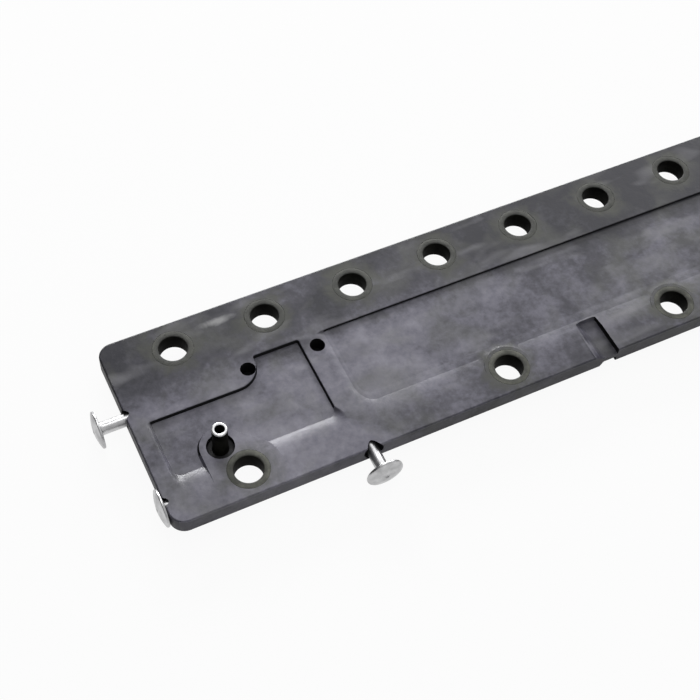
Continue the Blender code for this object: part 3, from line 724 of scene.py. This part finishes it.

# %% [markdown]
# ### Painted shade, and the finished plate
#
# Shade is painted in where it falls: in the holes, on the steep walls and under the lower edge. Each
# face stores how dark it is painted, worked out from its slope and its place, and the finish reads that.
# Painting it by hand would give no clean line at the foot of a wall. Weighted normals keep the big flat
# faces even beside the many small cuts.


# %% Painted shade and smooth shading
def set_painted_shade(mesh):
    """Store how much painted shade darkens each face: steep inner walls and deep floors 1, the outer edge less.

    How far a face lies inside the edge is the signed distance to a rounded rectangle,
    |max(q, 0)| + min(max(qx, qy), 0) - r, where q is the place beyond the corner's centre. On the front
    slopes, and on the recess's back wall, the walls get less painted shade.
    """
    normal, centre = (np.empty(3 * len(mesh.polygons), np.float32) for _ in range(2))
    mesh.polygons.foreach_get("normal", normal)
    mesh.polygons.foreach_get("center", centre)
    normal, centre = normal.reshape(-1, 3), centre.reshape(-1, 3) / MM
    x, y, z = np.abs(centre[:, 0]), centre[:, 1] + BACK_Y, centre[:, 2]
    beyond = np.abs(centre[:, :2]) - (END_X - CORNER_RADIUS, BACK_Y - CORNER_RADIUS)
    inside = CORNER_RADIUS - np.linalg.norm(np.maximum(beyond, 0), axis=1) - np.minimum(beyond.max(1), 0)
    steep = np.abs(normal[:, 2]) < 0.5
    deep = (normal[:, 2] > 0.5) & (z > 0.1) & (z < THICKNESS / 2)
    on_slope = (z > THICKNESS - 1.5) & (y > 5.2) & (y < np.where(x < front_pin_x + 7, 18.3, 16.2)) & (x > 15)
    recess_back = (x < 10) & (y > 5) & (y < 20) & (np.abs(normal[:, 1]) > 0.6)
    front = centre[:, 1] < -BACK_Y + 1.0
    edge_wall = np.where(front, 0.42, 0.5)
    wall = np.where(inside > EDGE_ROUND, 1.0, edge_wall)
    wall = np.where(on_slope | recess_back, 0.15, wall)
    edge_round = (inside < EDGE_ROUND) & (normal[:, 2] < 0.98)
    round_shade = np.where(normal[:, 2] < -0.1, 0.9, np.where(front, 0.0, 0.45))
    in_recess = (np.abs(centre[:, 0] - 0.5) < 4.5) & (y < RECESS_BACK) & (z > THICKNESS / 2) & (z < THICKNESS - 1.0)
    flat = np.where(deep, 1.0, np.where(in_recess, 0.4, 0.0))
    painted_shade = np.where(edge_round & (np.abs(normal[:, 2]) > 0.1), round_shade, np.where(steep, wall, flat))
    mesh.attributes.new("painted_shade", "FLOAT", "FACE").data.foreach_set("value", painted_shade.astype(np.float32))


# Store the painted shade on the plate's faces.
set_painted_shade(plate.data)
shade_soft(plate.data, 32)
soft = plate.modifiers.new("even_flats", "WEIGHTED_NORMAL")
soft.keep_sharp = True
soft.weight = 100
plate.data.materials.clear()
plate.data.materials.append(moulding)
stand_for(plate, "jig_plate")
print("plate:", len(plate.data.polygons), "faces")

# %% [markdown]
# ## Drill bushings
#
# Each bushing is a hardened, blackened steel ring, pressed flush into the plate. The drill enters over a
# small rounded lead-in. One profile is turned into all thirteen. From the lead-in on, where the profile
# turns down into the bore, the faces take the near-black painted shade instead of the worn face's finish.

# %% Bushings
bore = 4.65
ring_profile = rounded_profile(
    [
        (bushing_radius, THICKNESS / 2), (bushing_radius, THICKNESS), (bore, THICKNESS), (bore, 0),
        (bushing_radius, 0), (bushing_radius, THICKNESS / 2),
    ],
    [0.04, 0.4, 0.4, 0.04],
)[:-1]
lead_row = int(np.argmax((ring_profile[:, 0] < bore + 0.25) & (ring_profile[:, 1] > THICKNESS / 2)))
RING_SIDES = 96
face_row = np.repeat(np.arange(len(ring_profile)), RING_SIDES)
for name in BUSHINGS:
    rings = turned_rings(ring_profile, (*middle_mm(name)[:2], 0), sides=RING_SIDES)
    mesh = grid_mesh(name + "_ring", rings, hollow=True)
    shade_soft(mesh)
    ring = add_mesh(name + "_ring", mesh, blackened)
    # The bore's faces take the near-black finish, which is painted shade.
    mesh.materials.append(oxide_and_bore_shade)
    mesh.polygons.foreach_set("material_index", (face_row > lead_row).astype(np.int32))
    stand_for(ring, name)
print("bushings:", len(BUSHINGS))

# %% [markdown]
# ## Stop pins
#
# A stop pin is a bright steel shank with a thin domed head, which hooks over the edge of the panel. The
# dome is an arc of a large circle, its rim is rounded, and a centre mark sits in the crown. The neck swells
# into the head in a small flare. On the real pin the head is upset from the shank in one piece, so one
# profile from the centre mark to the tip is turned round the pin's axis.

# %% Pins
HEAD_RADIUS, SHANK_RADIUS = 6.1, 2.1
RIM, CROWN = 0.8, 1.2
DOME_RADIUS = (HEAD_RADIUS**2 + CROWN**2) / (2 * CROWN)


def pin_profile(length):
    """Profile (radius, height) from the centre mark over the dome and the rim to the shank's tip.

    An extra ring stands just past each end of the shank, so its long faces are shaded straight.
    """
    out = np.linspace(0.95, HEAD_RADIUS - 0.25, 14)
    dome = np.column_stack([out, RIM + CROWN - DOME_RADIUS + np.sqrt(DOME_RADIUS**2 - out**2)])
    mark = bend((0.12, dome[0, 1] - 0.5), (0.75, dome[0, 1] - 0.32), dome[0], 4)[:-1]
    rim = bend(dome[-1], (HEAD_RADIUS, dome[-1, 1] - 0.08), (HEAD_RADIUS, RIM - 0.3), 4)[1:]
    under = bend((HEAD_RADIUS, 0.25), (HEAD_RADIUS, 0), (HEAD_RADIUS - 0.25, 0), 3)
    neck = bend((SHANK_RADIUS + 0.6, 0), (SHANK_RADIUS, 0), (SHANK_RADIUS, -1.8), 6)
    shank = [(SHANK_RADIUS, -2.6), (SHANK_RADIUS, 1.4 - length)]
    tip = bend((SHANK_RADIUS, 0.6 - length), (SHANK_RADIUS, -length), (SHANK_RADIUS - 0.6, -length), 4)
    return np.vstack([mark, dome, rim, under, neck, shank, tip, [(0.1, -length)]])


crown_drop = DOME_RADIUS - math.sqrt(DOME_RADIUS**2 - 0.9**2)
for name in STOP_PINS:
    (mouth_x, mouth_y), outward = mouths[name][:2]
    low, high = box_mm(name)
    axis = np.abs(outward).argmax()
    outer_face = high[axis] if outward[axis] > 0 else -low[axis]
    seat = outer_face + crown_drop - RIM - CROWN
    origin = np.array([mouth_x, mouth_y, PIN_Z])
    origin[axis] = seat * outward[axis]
    tip = -low[axis] if outward[axis] > 0 else high[axis]
    rings = turned_rings(pin_profile(seat + tip), origin, outward, 80)
    mesh = grid_mesh(name + "_polished", rings)
    shade_soft(mesh)
    stand_for(add_mesh(name + "_polished", mesh, polished), name)
    print(name, "shank", round(float(seat + tip), 2), "mm")

# %% [markdown]
# ## Index pin
#
# The index pin is dropped through a bushing into the first drilled hole, to set the next row of holes.
# Here it stands in its storage hole: a steel dowel with a drilled end, pressed into a nylon collar. Both
# are turned. Only the end ring of the dowel is bright. Its side is black oxide, and the deeper part of its
# hollow is painted black as shade.

# %% Collar and dowel
low, high = box_mm("index_pin_collar")
outer, inner = (high - low)[0] / 2, 2.6
collar_profile = rounded_profile(
    [
        (outer, (low[2] + high[2]) / 2), (outer, high[2]), (inner, high[2]), (inner, low[2]),
        (outer, low[2]), (outer, (low[2] + high[2]) / 2),
    ],
    [0.4, 0.12, 0.12, 0.3],
)[:-1]
collar_rings = turned_rings(collar_profile, (store_x, store_y, 0))
collar = add_mesh("index_collar_turned", grid_mesh("index_collar_turned", collar_rings, hollow=True), nylon)
shade_soft(collar.data)
stand_for(collar, "index_pin_collar")

low, high = box_mm("index_pin_dowel")
radius, hollow = (high - low)[0] / 2, 1.5
dowel_profile = np.vstack([
    [(0.1, high[2] - 5.0), (hollow - 0.1, high[2] - 5.0)],
    bend((hollow, high[2] - 0.25), (hollow, high[2]), (hollow + 0.25, high[2])),
    bend((radius - 0.4, high[2]), (radius, high[2]), (radius, high[2] - 0.4)),
    [(radius, high[2] - 0.9), (radius, low[2] + 0.9)],
    bend((radius, low[2] + 0.3), (radius, low[2]), (radius - 0.3, low[2])),
    [(0.1, low[2])],
])
dowel_mesh = grid_mesh("index_dowel_turned", turned_rings(dowel_profile, (store_x, store_y, 0)))
dowel = add_mesh("index_dowel_turned", dowel_mesh, polished)
dowel_mesh.materials.append(oxide_and_bore_shade)
height = np.array([face.center.z for face in dowel_mesh.polygons]) / MM
x, y = (np.array([face.center[i] for face in dowel_mesh.polygons]) / MM for i in (0, 1))
outside = np.hypot(x - store_x, y - store_y) > hollow + 0.3
# Black oxide on the side. Below 1.5 mm the hollow is painted black as shade.
dark = (height < high[2] - 0.45) & outside | (height < high[2] - 1.5)
dowel_mesh.polygons.foreach_set("material_index", dark.astype(np.int32))
shade_soft(dowel.data)
stand_for(dowel, "index_pin_dowel")
print("index pin:", len(collar.data.polygons) + len(dowel_mesh.polygons), "faces")

# %% [markdown]
# ## Camera
#
# The camera stands where the photo was taken, in front of the left end and above it, rolled a little.
# Its three directions come from the fit of the two rows of holes and the plate's corners. The plain
# standard view keeps white as white.

# %% Camera
camera_data = bpy.data.cameras.new("camera")
camera_data.sensor_width = 36.0
camera_data.lens = 67.87
camera_data.clip_start = 0.01
camera = bpy.data.objects.new("camera", camera_data)
bpy.context.scene.collection.objects.link(camera)
right, down, forward = (
    Vector((0.89942, -0.43424, 0.04976)),
    Vector((-0.33567, -0.75916, -0.55767)),
    Vector((0.27994, 0.48488, -0.82857)),
)
turn = Matrix((right, -down, -forward)).transposed()
camera.matrix_world = Matrix.Translation((-0.19559, -0.20573, 0.35978)) @ turn.to_4x4()
bpy.context.scene.camera = camera
bpy.context.scene.view_settings.view_transform = "Standard"
print("camera looks along", [round(value, 2) for value in forward])

# %% [markdown]
# ## The floor
#
# The jig lies on its pin heads on white paper. The photo's background is plain white, so the camera and
# reflections see a paper that glows almost white, while other rays see a grey one, which keeps the jig's
# shadow and throws little light back up into the holes.

# %% Floor
floor_z = min(low[2] for low, _ in (box_mm(name) for name in STOP_PINS)) - 0.02
far = 1500.0
floor_mesh = bpy.data.meshes.new("floor")
floor_mesh.from_pydata(
    [(x * MM, y * MM, floor_z * MM) for x, y in ((-far, -far), (far, -far), (far, far), (-far, far))],
    [], [(0, 1, 2, 3)],
)
paper, tree, shader = new_material("white_paper", Roughness=0.9)
shader.inputs["Base Color"].default_value = (0.5, 0.5, 0.5, 1)
rays = add_node(tree, "ShaderNodeLightPath")
seen = maths(tree, "ADD", rays.outputs["Is Camera Ray"], rays.outputs["Is Glossy Ray"])
seen = maths(tree, "ADD", seen, rays.outputs["Is Transmission Ray"])
glow = add_node(tree, "ShaderNodeEmission", Color=(1, 1, 1, 1), Strength=1.0)
mixed = add_node(tree, "ShaderNodeMixShader", Fac=spread(tree, seen, 0, 1, 0, 0.94))
tree.links.new(shader.outputs[0], mixed.inputs[1])
tree.links.new(glow.outputs[0], mixed.inputs[2])
tree.links.new(mixed.outputs[0], tree.nodes["Material Output"].inputs["Surface"])
add_mesh("floor", floor_mesh, paper)
print("floor at", round(float(floor_z), 2), "mm")

# %% [markdown]
# ## The light
#
# The photo's light comes from behind the jig and a little from the right: slopes that face the back glow,
# walls that face the front are black. A long low strip behind gives the glow in the end pockets' ramps, a
# big soft box above it lights the flats, a small card on the right lights the slopes that face it, and a
# weak lamp overhead fills in. The room is darker behind the camera, so that the plate's gloss stays calm.

# %% Light
world = bpy.data.worlds.new("pale_room")
world.use_nodes = True
bpy.context.scene.world = world
tree = world.node_tree
background = tree.nodes["Background"]
heading = add_node(tree, "ShaderNodeTexCoord").outputs["Generated"]
toward_window = add_node(tree, "ShaderNodeVectorMath", {"operation": "DOT_PRODUCT"}).outputs["Value"]
tree.links.new(heading, toward_window.node.inputs[0])
toward_window.node.inputs[1].default_value = (0.5, -0.4, 0.77)
window = spread(tree, toward_window, -1.0, 1.0, 0.0, 1.0)
room = ramp(tree, window, [(0.62, 0.08, 0.08, 0.083), (0.86, 0.6, 0.6, 0.605), (1.0, 0.75, 0.75, 0.755)])
tree.links.new(room, background.inputs["Color"])
background.inputs["Strength"].default_value = 1.0


def soft_lamp(name, place, target, size, watts):
    """Area lamp that looks at a target, with its width and height in metres."""
    data = bpy.data.lights.new(name, "AREA")
    data.shape = "RECTANGLE"
    data.size, data.size_y = size
    data.energy = watts
    lamp = bpy.data.objects.new(name, data)
    bpy.context.scene.collection.objects.link(lamp)
    aim = Vector(target) - Vector(place)
    lamp.matrix_world = Matrix.Translation(place) @ aim.to_track_quat("-Z", "Y").to_matrix().to_4x4()
    return lamp


soft_lamp("overhead", (-0.1, 0.12, 0.85), (-0.1, 0, 0), (0.3, 0.3), 1.2)
soft_lamp("back_right_softbox", (0.6, 0.9, 1.66), (-0.05, 0, 0), (1.1, 1.1), 6.0)
soft_lamp("back_strip", (0.28, 1.25, 0.48), (-0.05, 0, 0), (0.95, 0.28), 25)
soft_lamp("right_card", (0.81, 0.58, 0.56), (-0.08, 0, 0), (0.35, 0.35), 2.2)
